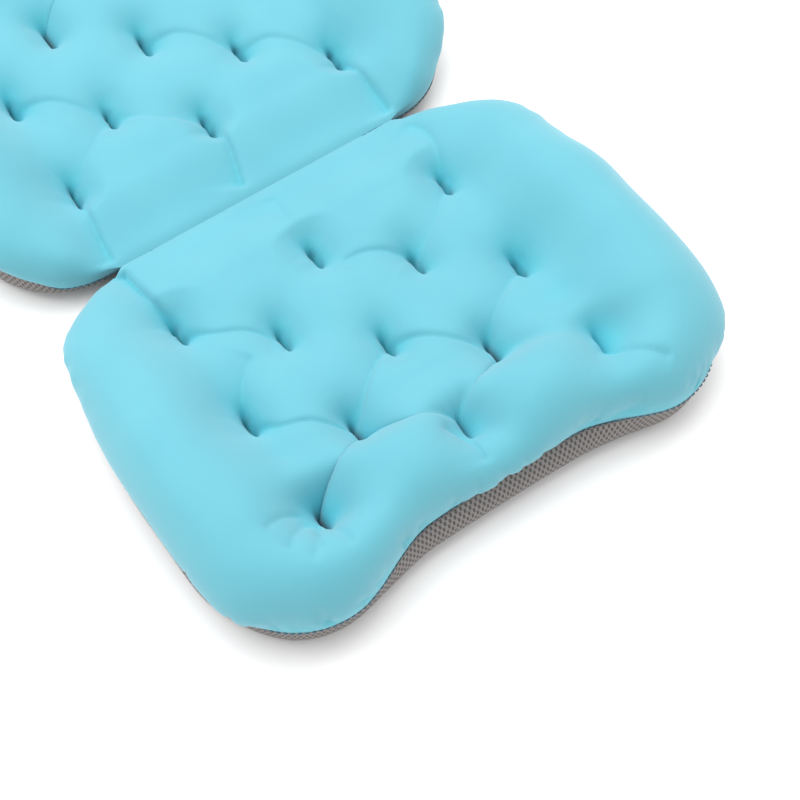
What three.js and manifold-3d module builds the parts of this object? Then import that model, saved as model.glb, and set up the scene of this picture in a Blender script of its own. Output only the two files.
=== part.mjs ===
// Folding bath pillow: two stuffed and tufted pads joined by one stitched fold.
// Each pad is a stretch-knit top cover and a spacer-mesh base, sewn together round the edge,
// packed with fibre filling and held down by bar tacks that pass right through.
// Millimetres, +Z up. The origin lies on the floor under the middle of the fold.
import * as THREE from "three";
import { mergeVertices } from "three/addons/utils/BufferGeometryUtils.js";
import Module from "manifold-3d";

const wasm = await Module();
wasm.setup();

// Pad outline, seen from above
const PAD_WIDTH = 336; // across the widest bulge
const PAD_LENGTH = 256; // fold axis to the far lobes
const FOLD_LENGTH = 190; // straight stitched edge
const END_SCOOP = 20; // depth of the hollow in the far edge
const SHOULDER_RUN = 150; // fold axis to where the side runs straight
const SHOULDER_REACH = 36; // how far the shoulder leaves the fold before it turns
const CORNER_RUN = 70; // length of a far corner along the side
const LOBE_INSET = 58; // side to the tip of a far lobe
const CORNER_FULLNESS = 0.66; // 0 cuts a corner straight, 1 fills it out square

// Pad heights above the floor
const FIELD_HEIGHT = 46; // top of the stuffing between the tufts, before they pull it in
const SIDE_HEIGHT = 72; // top of the roll along each side
const LOBE_HEIGHT = 68; // top of the roll along the far edge
const ROLL_RUN = 40; // run over which the quilted field rises to a side roll
const LOBE_RUN = 80; // run over which it rises towards the far edge
const BULGE_HEIGHT = 42; // level of the widest bulge on the free sides
const FOLD_BULGE_HEIGHT = 30; // the same along the fold
const BULGE = 8; // how far the sides swell past the edge seam
const SEAM_HEIGHT = 24; // edge seam on the free sides
const FOLD_HEIGHT = 14; // edge seam and fold axis along the fold
const BASE_ROUND = 20; // rounding from the flat base up to the edge seam

// Fold: how far the upper pad turns before the stuffed edges meet, in degrees
const FOLD_UP = 60;
const FOLD_BACK = 120;
const FOLD_EDGE = 4.6; // fold axis to the edge seam of a pad
const FOLD_EASE = 45; // run over which the fold edge changes into a free side

// Tufts: rows of three and two by turns, spread between these margins
const TUFT_ROWS = 5;
const TUFT_COLUMNS = 5; // lattice columns, every second one used in a row
const SIDE_MARGIN = 78; // side bulge to the outer tufts
const FOLD_MARGIN = 58; // fold axis to the first row
const END_MARGIN = 34; // middle of the scooped end to the last row
const TUFT_FLOOR = 12; // level of the cover under a tack
const DIMPLE_RADIUS = 13;

// Cloth and thread
const COVER_THICKNESS = 1.2;
const BASE_THICKNESS = 3;
const SEAM_DIAMETER = 2; // thread bead of the edge seam
const FOLD_SEAM_DIAMETER = 6; // rolled seam on the fold axis
const TACK_LENGTH = 11; // bar of a tack, along the pad
const TACK_WIDTH = 2.2;
const TACK_HEIGHT = 1.2;
const SHANK_LENGTH = 8; // stitches that pass through the pad
const TACK_RECESS = 0.4; // lower bar above the floor
const SEAT_MARGIN = 1.2; // flat cloth left round a tack
const CLEARANCE = 0.3;
const FILL_SLACK = 0.6; // filling to the cloth round it

// Fineness of the curved surfaces
const UPPER_RINGS = 4; // crown to bulge
const LOWER_RINGS = 2; // bulge to edge seam
const BASE_RINGS = 3; // edge seam to flat base
const BEAD_SIDES = 6;
const FOLD_SEAM_SIDES = 12;
const OUTLINE_STEPS = 60; // steps on each curve of the outline

const QUARTER_TURN = Math.PI / 2;
const HALF_WIDTH = PAD_WIDTH / 2 - BULGE;
const SEAM_END = PAD_LENGTH - BULGE;
const SEAM_SPLIT = SEAM_DIAMETER / 2 + CLEARANCE; // edge seam axis to a cloth rim
const SEAT_HALF_WIDTH = TACK_WIDTH / 2 + SEAT_MARGIN;
const SEAT_HALF_LENGTH = TACK_LENGTH / 2 + SEAT_MARGIN;
const FIRST_LINE = FOLD_MARGIN - SEAT_HALF_LENGTH;

const colours = {
  cover: new THREE.MeshStandardMaterial({ color: 0x87d8e6, roughness: 0.85, metalness: 0 }),
  base: new THREE.MeshStandardMaterial({ color: 0x96908c, roughness: 0.95, metalness: 0 }),
  fill: new THREE.MeshStandardMaterial({ color: 0xf4f4f0, roughness: 1, metalness: 0 }),
  seam: new THREE.MeshStandardMaterial({ color: 0x2f6577, roughness: 0.8, metalness: 0 }),
  tack: new THREE.MeshStandardMaterial({ color: 0x7fcfe0, roughness: 0.7, metalness: 0 }),
};

// Plan of one pad: X across, Y away from the fold
function evenly(first, last, count) {
  return Array.from({ length: count }, (_, i) => first + ((last - first) * i) / (count - 1));
}

const columnCentres = evenly(SIDE_MARGIN - PAD_WIDTH / 2, PAD_WIDTH / 2 - SIDE_MARGIN, TUFT_COLUMNS);
const rowCentres = evenly(FOLD_MARGIN, PAD_LENGTH - END_SCOOP - END_MARGIN, TUFT_ROWS);
const padCentre = new THREE.Vector2(0, (rowCentres[0] + rowCentres[TUFT_ROWS - 1]) / 2);

const tufts = [];
rowCentres.forEach((y, row) => {
  columnCentres.forEach((x, column) => {
    if ((row + column) % 2 === 0) {
      tufts.push(new THREE.Vector2(x, y));
    }
  });
});

// Right half of the edge seam's line: half the fold, a round shoulder, the side, a far lobe, half the scoop
function halfOutline() {
  const half = FOLD_LENGTH / 2;
  const lobe = HALF_WIDTH - LOBE_INSET;
  const scoop = SEAM_END - END_SCOOP;
  const handle = 1 - CORNER_FULLNESS;
  const shoulderHandle = SHOULDER_RUN * handle;
  const sideHandle = SEAM_END - CORNER_RUN * handle;
  const lobeHandle = HALF_WIDTH - LOBE_INSET * handle;
  const outline = new THREE.Path();
  outline.moveTo(0, FOLD_EDGE);
  outline.lineTo(half, FOLD_EDGE);
  const shoulder = half + SHOULDER_REACH;
  outline.bezierCurveTo(shoulder, FOLD_EDGE, HALF_WIDTH, shoulderHandle, HALF_WIDTH, SHOULDER_RUN);
  outline.lineTo(HALF_WIDTH, SEAM_END - CORNER_RUN);
  outline.bezierCurveTo(HALF_WIDTH, sideHandle, lobeHandle, SEAM_END, lobe, SEAM_END);
  outline.bezierCurveTo(lobe / 2, SEAM_END, lobe / 2, scoop, 0, scoop);
  return outline.getPoints(OUTLINE_STEPS);
}

// The whole line, anticlockwise from the middle of the fold
function seamOutline() {
  const right = halfOutline();
  const left = right.slice(1, -1).map(({ x, y }) => new THREE.Vector2(-x, y));
  return [...right, ...left.reverse()];
}

// Point where a ray from the pad centre through a plan point meets the edge seam
function onOutline(outline, through) {
  const ray = through.clone().sub(padCentre);
  for (let i = 0; i < outline.length; i += 1) {
    const start = outline[i].clone().sub(padCentre);
    const step = outline[(i + 1) % outline.length].clone().sub(padCentre).sub(start);
    const along = start.cross(ray) / ray.cross(step);
    const reach = start.cross(step) / ray.cross(step);
    if (along >= 0 && along < 1 && reach > 0) {
      return padCentre.clone().addScaledVector(ray, reach);
    }
  }
  throw new Error("the outline is open");
}

// Cloth lines along one direction: both edges of each tack seat and the middle between two seats
function clothLines(centres, halfSeat) {
  const lines = [];
  centres.forEach((centre, i) => {
    if (i > 0) {
      lines.push((centres[i - 1] + centre) / 2);
    }
    lines.push(centre - halfSeat, centre + halfSeat);
  });
  return lines;
}

const columns = clothLines(columnCentres, SEAT_HALF_WIDTH);
const rows = clothLines(rowCentres, SEAT_HALF_LENGTH);

// Border of the quilted field as grid indices, anticlockwise from the corner at the fold
function fieldBorder() {
  const lastColumn = columns.length - 1;
  const lastRow = rows.length - 1;
  const border = [];
  for (let c = 0; c < lastColumn; c += 1) {
    border.push([c, 0]);
  }
  for (let r = 0; r < lastRow; r += 1) {
    border.push([lastColumn, r]);
  }
  for (let c = lastColumn; c > 0; c -= 1) {
    border.push([c, lastRow]);
  }
  for (let r = lastRow; r > 0; r -= 1) {
    border.push([0, r]);
  }
  return border;
}

// Edge seam stations: where each cloth line ends, its level and its outward direction
function seamStations() {
  const outline = seamOutline();
  const stations = fieldBorder().map(([c, r]) => {
    const inner = new THREE.Vector2(columns[c], rows[r]);
    const edge = onOutline(outline, inner);
    const free = THREE.MathUtils.smoothstep(edge.y, FOLD_EDGE, FOLD_EDGE + FOLD_EASE);
    const height = THREE.MathUtils.lerp(FOLD_HEIGHT, SEAM_HEIGHT, free);
    return { column: c, row: r, inner, edge, free, height };
  });
  stations.forEach((station, i) => {
    const before = stations[(i + stations.length - 1) % stations.length].edge;
    const after = stations[(i + 1) % stations.length].edge;
    const along = after.clone().sub(before).normalize();
    station.outward = new THREE.Vector2(along.y, -along.x);
  });
  return stations;
}

const stations = seamStations();

// Heights of the stuffed top: a low quilted field between a full roll along each side, which dies
// out at the fold, and another along the far edge, with a dimple over every tack seat
function crownAt(x, y) {
  const lastColumn = columnCentres[TUFT_COLUMNS - 1];
  const lastRow = rowCentres[TUFT_ROWS - 1];
  const outwards = THREE.MathUtils.smoothstep(Math.abs(x), lastColumn, lastColumn + ROLL_RUN);
  const fromFold = THREE.MathUtils.smoothstep(y, FOLD_EDGE, rowCentres[1]);
  const onwards = THREE.MathUtils.smoothstep(y, lastRow - LOBE_RUN, lastRow);
  const field = THREE.MathUtils.lerp(FIELD_HEIGHT, LOBE_HEIGHT, onwards);
  return THREE.MathUtils.lerp(field, SIDE_HEIGHT, outwards * fromFold);
}

function swellAt(x, y) {
  let swell = 1;
  tufts.forEach((tuft) => {
    const dx = Math.max(0, Math.abs(x - tuft.x) - SEAT_HALF_WIDTH);
    const dy = Math.max(0, Math.abs(y - tuft.y) - SEAT_HALF_LENGTH);
    swell *= 1 - Math.exp(-(dx * dx + dy * dy) / (DIMPLE_RADIUS * DIMPLE_RADIUS));
  });
  return swell;
}

// The fold edge leans back from the fold axis, above and below it, so that the pad can turn
function leanBack(point) {
  const rise = point.z - FOLD_HEIGHT;
  const halfTurn = THREE.MathUtils.degToRad(rise > 0 ? FOLD_UP : FOLD_BACK) / 2;
  const lean = Math.abs(rise) * Math.tan(halfTurn);
  if (point.y < FIRST_LINE) {
    point.y = lean + point.y * (1 - lean / FIRST_LINE);
  }
  return point;
}

// Surfaces as points, triangles and the indices of their rim.
// Four corners in turn are split along the higher diagonal, as stretched cloth creases.
function split(points, [a, b, c, d]) {
  const higher = points[a].z + points[c].z >= points[b].z + points[d].z;
  return higher ? [[a, b, c], [a, c, d]] : [[a, b, d], [b, c, d]];
}

function band(points, inner, outer) {
  return inner.flatMap((a, i) => {
    const next = (i + 1) % inner.length;
    return split(points, [outer[i], outer[next], inner[next], a]);
  });
}

function ringPoint(station, distance, z) {
  const spread = station.edge.clone().sub(station.inner).normalize();
  return new THREE.Vector3(
    station.inner.x + spread.x * distance,
    station.inner.y + spread.y * distance,
    z,
  );
}

function rimPoint(station, offset, z) {
  return new THREE.Vector3(
    station.edge.x + station.outward.x * offset,
    station.edge.y + station.outward.y * offset,
    z,
  );
}

// Section of the cover at one station, from the crown over the bulge to just above the edge seam
function coverSection(station) {
  const band = station.edge.distanceTo(station.inner);
  const bulge = BULGE * station.free;
  const level = THREE.MathUtils.lerp(FOLD_BULGE_HEIGHT, BULGE_HEIGHT, station.free);
  const rim = station.height + SEAM_SPLIT;
  const points = [];
  for (let i = 1; i <= UPPER_RINGS; i += 1) {
    const angle = (QUARTER_TURN * i) / UPPER_RINGS;
    const point = ringPoint(station, (band + bulge) * Math.sin(angle), 0);
    const rise = (crownAt(point.x, point.y) - level) * Math.cos(angle);
    const sink = (level + rise - TUFT_FLOOR) * (1 - swellAt(point.x, point.y)) * Math.cos(angle);
    point.z = level + rise - sink;
    points.push(leanBack(point));
  }
  for (let i = 1; i < LOWER_RINGS; i += 1) {
    const angle = (QUARTER_TURN * i) / LOWER_RINGS;
    const drop = (level - rim) * Math.sin(angle);
    points.push(leanBack(ringPoint(station, band + bulge * Math.cos(angle), level - drop)));
  }
  points.push(rimPoint(station, COVER_THICKNESS / 2, rim));
  return points;
}

function coverSurface() {
  const points = [];
  const triangles = [];
  const indexAt = (c, r) => r * columns.length + c;
  rows.forEach((y) => {
    columns.forEach((x) => {
      points.push(new THREE.Vector3(x, y, TUFT_FLOOR + (crownAt(x, y) - TUFT_FLOOR) * swellAt(x, y)));
    });
  });
  for (let r = 0; r < rows.length - 1; r += 1) {
    for (let c = 0; c < columns.length - 1; c += 1) {
      const corners = [indexAt(c, r), indexAt(c + 1, r), indexAt(c + 1, r + 1), indexAt(c, r + 1)];
      triangles.push(...split(points, corners));
    }
  }
  const sections = stations.map(coverSection);
  let inner = stations.map((station) => indexAt(station.column, station.row));
  sections[0].forEach((_, ring) => {
    const outer = sections.map((section) => points.push(section[ring]) - 1);
    triangles.push(...band(points, inner, outer));
    inner = outer;
  });
  return { points, triangles, rim: inner };
}

// Section of the base at one station, from just below the edge seam to the flat underside
function baseSection(station) {
  const band = station.edge.distanceTo(station.inner);
  const rim = station.height - SEAM_SPLIT;
  const points = [rimPoint(station, BASE_THICKNESS / 2, rim)];
  for (let i = 1; i <= BASE_RINGS; i += 1) {
    const angle = (QUARTER_TURN * i) / BASE_RINGS;
    const inset = BASE_ROUND * (1 - Math.cos(angle));
    points.push(leanBack(ringPoint(station, band - inset, rim * (1 - Math.sin(angle)))));
  }
  return points;
}

function baseSurface() {
  const points = [];
  const triangles = [];
  const sections = stations.map(baseSection);
  let upper = null;
  let rim = null;
  sections[0].forEach((_, ring) => {
    const lower = sections.map((section) => points.push(section[ring]) - 1);
    if (upper) {
      triangles.push(...band(points, upper, lower));
    } else {
      rim = lower;
    }
    upper = lower;
  });
  const middle = points.push(new THREE.Vector3(padCentre.x, padCentre.y, 0)) - 1;
  upper.forEach((a, i) => triangles.push([middle, upper[(i + 1) % upper.length], a]));
  return { points, triangles, rim };
}

function toGeometry(points, triangles) {
  const geometry = new THREE.BufferGeometry().setFromPoints(points);
  geometry.setIndex(triangles.flat());
  geometry.computeVertexNormals();
  return geometry;
}

// The surface moved inwards by a depth, with its rim set at an offset and a level by the seam
function inwards(surface, depth, rimOffset, rimLevel) {
  const normals = toGeometry(surface.points, surface.triangles).getAttribute("normal");
  const points = surface.points.map((point, i) => {
    const normal = new THREE.Vector3().fromBufferAttribute(normals, i);
    return point.clone().addScaledVector(normal, -depth);
  });
  surface.rim.forEach((index, i) => {
    points[index] = rimPoint(stations[i], rimOffset, stations[i].height + rimLevel);
  });
  return points;
}

// A cloth shell: the outer surface, the same surface turned over further in, and the rim between
function clothShell(surface, thickness, rimLevel) {
  const inner = inwards(surface, thickness, -thickness / 2, rimLevel);
  const count = surface.points.length;
  const turned = surface.triangles.map(([a, b, c]) => [c + count, b + count, a + count]);
  const innerRim = surface.rim.map((index) => index + count);
  const points = [...surface.points, ...inner];
  const edge = rimLevel > 0 ? band(points, surface.rim, innerRim) : band(points, innerRim, surface.rim);
  return toGeometry(points, [...surface.triangles, ...turned, ...edge]);
}

// The filling: what is left between the cover and the base, with one sharp edge behind the seam
function fillBody(cover, base) {
  const edgeOffset = -BASE_THICKNESS / 2 - FILL_SLACK;
  const top = inwards(cover, COVER_THICKNESS + FILL_SLACK, edgeOffset, 0);
  const bottom = inwards(base, BASE_THICKNESS + FILL_SLACK, edgeOffset, 0);
  const shifted = base.triangles.map((triangle) => triangle.map((index) => index + top.length));
  return toGeometry([...top, ...bottom], [...cover.triangles, ...shifted]);
}

// The thread bead of the edge seam, a closed ring of small polygons
function seamBead() {
  const points = [];
  const rings = stations.map((station) =>
    Array.from({ length: BEAD_SIDES }, (_, side) => {
      const angle = (2 * Math.PI * side) / BEAD_SIDES;
      const offset = (SEAM_DIAMETER / 2) * Math.cos(angle);
      const level = station.height + (SEAM_DIAMETER / 2) * Math.sin(angle);
      return points.push(rimPoint(station, offset, level)) - 1;
    }),
  );
  const triangles = rings.flatMap((ring, i) => band(points, ring, rings[(i + 1) % rings.length]));
  return toGeometry(points, triangles);
}

// A bar tack: an upper bar in the dimple, the stitches through the pad and a lower bar in the base
function tackBody() {
  const half = TACK_LENGTH / 2;
  const shank = SHANK_LENGTH / 2;
  const lowerTop = TACK_RECESS + TACK_HEIGHT;
  const upperBottom = TUFT_FLOOR + CLEARANCE;
  const side = [
    [half, TACK_RECESS],
    [half, lowerTop],
    [shank, lowerTop],
    [shank, upperBottom],
    [half, upperBottom],
    [half, upperBottom + TACK_HEIGHT],
  ];
  const mirrored = side.map(([y, z]) => [-y, z]).reverse();
  const profile = new THREE.Shape([...side, ...mirrored].map(([y, z]) => new THREE.Vector2(y, z)));
  const geometry = new THREE.ExtrudeGeometry(profile, { depth: TACK_WIDTH, bevelEnabled: false });
  geometry.translate(0, 0, -TACK_WIDTH / 2);
  const upright = new THREE.Matrix4().makeBasis(
    new THREE.Vector3(0, 1, 0),
    new THREE.Vector3(0, 0, 1),
    new THREE.Vector3(1, 0, 0),
  );
  return geometry.applyMatrix4(upright);
}

// Cutting
function toSolid(geometry) {
  const bare = geometry.clone();
  bare.deleteAttribute("normal");
  bare.deleteAttribute("uv");
  const merged = mergeVertices(bare);
  const vertProperties = new Float32Array(merged.getAttribute("position").array);
  const triVerts = new Uint32Array(merged.getIndex().array);
  return new wasm.Manifold(new wasm.Mesh({ numProp: 3, vertProperties, triVerts }));
}

function fromSolid(solid) {
  const mesh = solid.getMesh();
  const geometry = new THREE.BufferGeometry();
  geometry.setAttribute("position", new THREE.BufferAttribute(mesh.vertProperties, 3));
  geometry.setIndex(new THREE.BufferAttribute(mesh.triVerts, 1));
  geometry.computeVertexNormals();
  return geometry;
}

function slot(tuft, length, from, to) {
  const box = new THREE.BoxGeometry(TACK_WIDTH + 2 * CLEARANCE, length + 2 * CLEARANCE, to - from);
  box.translate(tuft.x, tuft.y, (from + to) / 2);
  return toSolid(box);
}

function cutSlots(geometry, withPockets) {
  let solid = toSolid(geometry);
  const pocketTop = TACK_RECESS + TACK_HEIGHT + CLEARANCE;
  tufts.forEach((tuft) => {
    solid = solid.subtract(slot(tuft, SHANK_LENGTH, -BASE_THICKNESS, FIELD_HEIGHT));
    if (withPockets) {
      solid = solid.subtract(slot(tuft, TACK_LENGTH, -BASE_THICKNESS, pocketTop));
    }
  });
  return fromSolid(solid);
}

// One pad: its cover, base, filling, edge seam and tacks
const cover = coverSurface();
const base = baseSurface();
const coverGeometry = cutSlots(clothShell(cover, COVER_THICKNESS, SEAM_SPLIT), false);
const baseGeometry = cutSlots(clothShell(base, BASE_THICKNESS, -SEAM_SPLIT), true);
const fillGeometry = cutSlots(fillBody(cover, base), false);
const seamGeometry = seamBead();
const tackGeometry = tackBody();

function addPiece(group, name, geometry, material) {
  const mesh = new THREE.Mesh(geometry, material.clone());
  mesh.name = name;
  group.add(mesh);
  return mesh;
}

function makePad(prefix) {
  const pad = new THREE.Group();
  addPiece(pad, `${prefix}_top_cover`, coverGeometry, colours.cover);
  addPiece(pad, `${prefix}_base_mesh`, baseGeometry, colours.base);
  addPiece(pad, `${prefix}_fill`, fillGeometry, colours.fill);
  addPiece(pad, `${prefix}_edge_seam`, seamGeometry, colours.seam);
  tufts.forEach((tuft, i) => {
    const tack = addPiece(pad, `${prefix}_tack_${i + 1}`, tackGeometry, colours.tack);
    tack.position.set(tuft.x, tuft.y, 0);
  });
  return pad;
}

function foldSeam() {
  const radius = FOLD_SEAM_DIAMETER / 2;
  return new THREE.CylinderGeometry(radius, radius, FOLD_LENGTH, FOLD_SEAM_SIDES);
}

const pillow = new THREE.Group();
pillow.name = "folding_bath_pillow";

const upperPad = makePad("upper");
pillow.add(upperPad);

const lowerPad = makePad("lower");
lowerPad.rotation.z = Math.PI;
pillow.add(lowerPad);

const roll = addPiece(pillow, "fold_seam", foldSeam(), colours.seam);
roll.rotation.z = QUARTER_TURN;
roll.position.z = FOLD_HEIGHT;

export default pillow;
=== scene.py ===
import math

import bpy
import numpy as np
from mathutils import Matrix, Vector, geometry


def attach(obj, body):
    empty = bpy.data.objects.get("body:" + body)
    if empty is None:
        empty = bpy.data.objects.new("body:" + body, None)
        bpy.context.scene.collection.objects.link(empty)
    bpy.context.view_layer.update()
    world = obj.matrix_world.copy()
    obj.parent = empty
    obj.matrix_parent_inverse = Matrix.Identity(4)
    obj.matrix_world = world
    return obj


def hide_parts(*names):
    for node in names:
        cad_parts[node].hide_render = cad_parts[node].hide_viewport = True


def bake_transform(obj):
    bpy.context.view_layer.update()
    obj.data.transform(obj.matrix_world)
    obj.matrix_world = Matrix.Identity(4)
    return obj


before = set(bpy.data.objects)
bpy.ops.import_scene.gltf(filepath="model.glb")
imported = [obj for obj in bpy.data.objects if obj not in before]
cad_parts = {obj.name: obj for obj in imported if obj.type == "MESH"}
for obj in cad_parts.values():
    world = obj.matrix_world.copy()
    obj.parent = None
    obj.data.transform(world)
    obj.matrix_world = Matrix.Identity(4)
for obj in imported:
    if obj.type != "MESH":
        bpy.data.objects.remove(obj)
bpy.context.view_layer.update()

# Lengths in metres. A pad is worked out on the +Y side of the fold, and the lower pad is that
# pad turned half a turn about Z.
HALF_TURN = np.array([-1.0, -1.0, 1.0])
PAD_CENTRE = np.array([0.0, 0.130])

# Plan of the sewn edge: fold, shoulders beside it, sides, corner lobes and the scoop between them
HALF_WIDTH = 0.161
LENGTH = 0.251
FOLD_HALF = 0.095
FOLD_EDGE = 0.0046
SHOULDER_REACH = 0.036
SHOULDER_RISE = 0.051
SIDE_START = 0.140
CORNER_RUN = 0.070
LOBE_X = 0.106
SCOOP = 0.018
SCOOP_X = 0.045
SCOOP_SAG = 0.0007
CORNER_LEAN = 0.0035
OUTLINE_POINTS = 720

# Parts of a pad along its length, from 0 to 1 over each span
FRONT_SPAN = (0.19, 0.235)
FORWARD_SPAN = (0.10, 0.19)

# Heights of the stuffed form: the sewn edge, the widest line above it, the border and the field
SEAM_Z = 0.026
FOLD_Z = 0.014
WIDEST_Z = 0.040
FOLD_WIDEST_Z = 0.021
FRONT_WIDEST_GAP = 0.004
BULGE = 0.008
FOLD_BULGE = 0.0030
BORDER_Z = 0.051
FIELD_Z = 0.033
FRONT_FIELD_Z = 0.050
FOLD_FALL = 0.005
SHOULDER_FALL = 0.026

# Front lobes: place across and rise of each, their place along the pad and their spread
LOBES = ((-0.045, 0.010), (0.045, 0.006))
LOBE_Y = 0.206
LOBE_WIDE = 0.030
LOBE_LONG = 0.022

# Run from the widest line up to full height, and the roundness of that rise
SIDE_RUN = 0.072
FRONT_RUN = 0.040
BACK_RUN = 0.016
SHOULDER_RUN = 0.040
CROWN_POWER = 2.2

# Rays that the form is worked out on, steps along each, and how sharply the nearest edge counts
RAYS = 360
TOP_STEPS = 110
UNDER_STEPS = 20
NEAR_POWER = 12.0
NEAR_GAIN = 1.25

# Tufts: their places, the height of the sewn bar, the spacing of its sewn points, and the width of
# the dip, which is wider and steeper in front. The cover's mesh has points on each tuft.
COLUMNS = np.array([-0.090, -0.045, 0.0, 0.045, 0.090])
ROWS = np.array([0.058, 0.094, 0.130, 0.166, 0.202])
TUFT_Z = 0.0115
PIN_STEP = 0.0045
DIP_WIDE = 0.013
DIP_HALF = 0.004
FRONT_DIP_WIDER = 0.007
FRONT_DIP_STEEPER = 2.4
MESH_X = 0.045 / 12
MESH_Y = 0.036 / 9
RIM_STEP = 0.0039

# Spare cloth in the cover, as a share of its length on the tufted form
BORDER_CUT = 0.99
BORDER_SPARE = 0.06
FIELD_CUT = 1.02
FIELD_SPARE = 0.15
FRONT_CUT = 0.98
FRONT_SPARE = 0.24
UNEVEN_WAVES = 12
UNEVEN_SPAN = 0.05
UNEVEN_SHARE = 0.02

# Cloth solver: stuffing pushes outwards, bending is smoothed, and edges are drawn back to length
SOLVER_STEPS = 260
STRETCH_ROUNDS = 6
DAMPING = 0.92
PRESSURE = 1.2e-3
PRESSURE_DEPTH = 0.02
PRESSURE_LEAST = 0.05
PRESSURE_MOST = 1.5
BENDING = 0.15
TOP_SPEED = 0.002
STRETCHED_PULL = 0.25
SLACK_PUSH = 0.04
FOLD_WALL = 0.0010
FOLD_WALL_LEAN = math.radians(5)
LOWEST_Z = 0.006

# Drawn field: its level, the dip at each tuft, and how much of the difference is taken up
CALM_Z = 0.038
FRONT_CALM_RISE = 0.006
CUSP = 0.007
CUSP_POWER = 0.75
BAR_HALF = 0.006
CALM = 0.85
BORDER_PASSES = 60
BORDER_SHARE = 0.7
SLIT_PINCH = 0.6
SLIT_PINCH_REACH = 0.005

# Shade along the bar of a tuft: half length, half width and fade at its ends
SLIT_HALF = 0.005
SLIT_WIDE = 0.0013
SLIT_FADE = 0.0025

# Lips of the pads at the fold: the height they keep under, their rounding, and how they meet.
# The steps are multiplied by a pad's overlap.
LID_Z = 0.02355
LID_STEP = 0.75
LID_RISE = 0.012
LIP_ROUND = 0.0018
LIP_ROUND_START = 0.003
LIP_ROUND_RUN = 0.0035
LIP_RUN = 0.006
LIP_Y = -0.0026
LIP_STEP = 0.8
LIP_STOP = 0.0002
LIP_STOP_STEP = 0.2

# Pressed folds: points along each line, smoothing, sharpness, and the sideways pull of the cloth
CREASE_POINTS = 60
CREASE_PASSES = 30
CREASE_POWER = 1.2
CREASE_PULL = 0.35
CREASE_PULL_REACH = 0.005
CREASE_MARGIN = 0.03

# Gathers above the sewn edge: how many, how many of them in front, and the range of their sizes
GATHERS = 64
FRONT_GATHERS = 46
GATHER_REACH = (0.010, 0.026)
GATHER_WIDTH = (0.0017, 0.0028)
GATHER_DEPTH = (0.0007, 0.0017)

# Base: swell of its wall, the height of its waist, the roll under to the sole, dimples at the tacks
WALL_SWELL = 0.0015
SCOOP_SWELL = 0.0055
LOBE_DRAW = 0.0045
WAIST_Z = 0.014
WAIST_GAP = 0.0005
SOLE_ROLL = 0.012
FOLD_SOLE_ROLL = 0.013
WALL_RINGS = 7
ROLL_RINGS = 7
SOLE_RINGS = 25
DIMPLE = 0.0028
DIMPLE_HALF = 0.005
DIMPLE_WIDE = 0.008

# Filling: how far it stays inside the cover and above the base
FILL_INSET = 0.10
FILL_INSET_RUN = 0.05
FILL_DROP = 0.015
FILL_TUFT_CLEAR = 0.012
FILL_LEAST_Z = 0.0085
FILL_UNDER_Z = 0.0065
FILL_UNDER_SHARE = 0.86

# Roll between the pads, and the reach of the bend on each side of it
ROLL_HALF = 0.0042
ROLL_UP = 0.0045
ROLL_DOWN = 0.0031
ROLL_STATIONS = 96
ROLL_SIDES = 14
ROLL_END_POWER = 14

# Thread of one stitch: share of its length and of its radius at each station, and its bow
THREAD_PROFILE = ((0.0, 0.35), (0.12, 0.85), (0.5, 1.0), (0.88, 0.85), (1.0, 0.35))
THREAD_BOW = 0.9

# Stitches of the sewn edge, and the bar tacks with their shanks
STITCH_PITCH = 0.0036
STITCH_SHARE = 0.76
STITCH_RADIUS = 0.00042
STITCH_LIFT = 0.0003
STITCH_TILT = 0.35
TACK_STITCHES = 13
TACK_LENGTH = 0.0100
TACK_HALF = 0.0011
TACK_RADIUS = 0.00045
TACK_SLANT = 0.0002
SHANK_STRANDS = 3
SHANK_STEP = 0.003
SHANK_DEPTH = 0.008
SHANK_RADIUS = 0.0004

# Cloth thickness, the painted bounce light that turns hollows a lighter, richer blue, and painted shade
# in the slits
COVER_THICKNESS = 0.0012
BASE_THICKNESS = 0.003
PAINTED_BOUNCE_PASSES = 120
PAINTED_BOUNCE_DEPTH = 0.018
SLIT_SHADE_BLUE = (0.008, 0.130, 0.180, 1)
MESH_HOLE_PITCH = (("X", 0.0033), ("Y", 0.0054))

# Lamps: name, place, size and power. Camera: the point it looks at, distance, angles in degrees.
LAMPS = (("key", (-0.25, 0.45, 1.5), 1.9, 30), ("fill", (0.9, 0.2, 1.3), 1.2, 5))
LAMP_AIM = (0, -0.1, 0)
CAMERA_AIM = (-0.0131, -0.161, 0.022)
CAMERA_DISTANCE = 1.084
CAMERA_AZIMUTH = -34.7
CAMERA_ELEVATION = 59.3
CAMERA_LENS = 90
CAMERA_SENSOR = 36


def smoothstep(low, high, value):
    t = np.clip((value - low) / (high - low), 0, 1)
    return t * t * (3 - 2 * t)


def bezier(p0, p1, p2, p3, count=40):
    t = np.linspace(0, 1, count, endpoint=False)[:, None]
    p0, p1, p2, p3 = map(np.array, (p0, p1, p2, p3))
    return (1 - t) ** 3 * p0 + 3 * t * (1 - t) ** 2 * p1 + 3 * t * t * (1 - t) * p2 + t ** 3 * p3


def lengths(rows):
    return np.linalg.norm(rows, axis=1, keepdims=True)


def run_along(path):
    """Length along a path from its start to each of its points."""
    return np.concatenate([[0], np.cumsum(np.linalg.norm(np.diff(path, axis=0), axis=1))])


def resample(loop, count):
    closed = np.vstack([loop, loop[:1]])
    run = run_along(closed)
    at = np.linspace(0, run[-1], count, endpoint=False)
    return np.stack([np.interp(at, run, closed[:, k]) for k in range(loop.shape[1])], 1)


def even_out(values, passes):
    for _ in range(passes):
        values = (np.roll(values, 1, 0) + np.roll(values, -1, 0) + 2 * values) / 4
    return values


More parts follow.
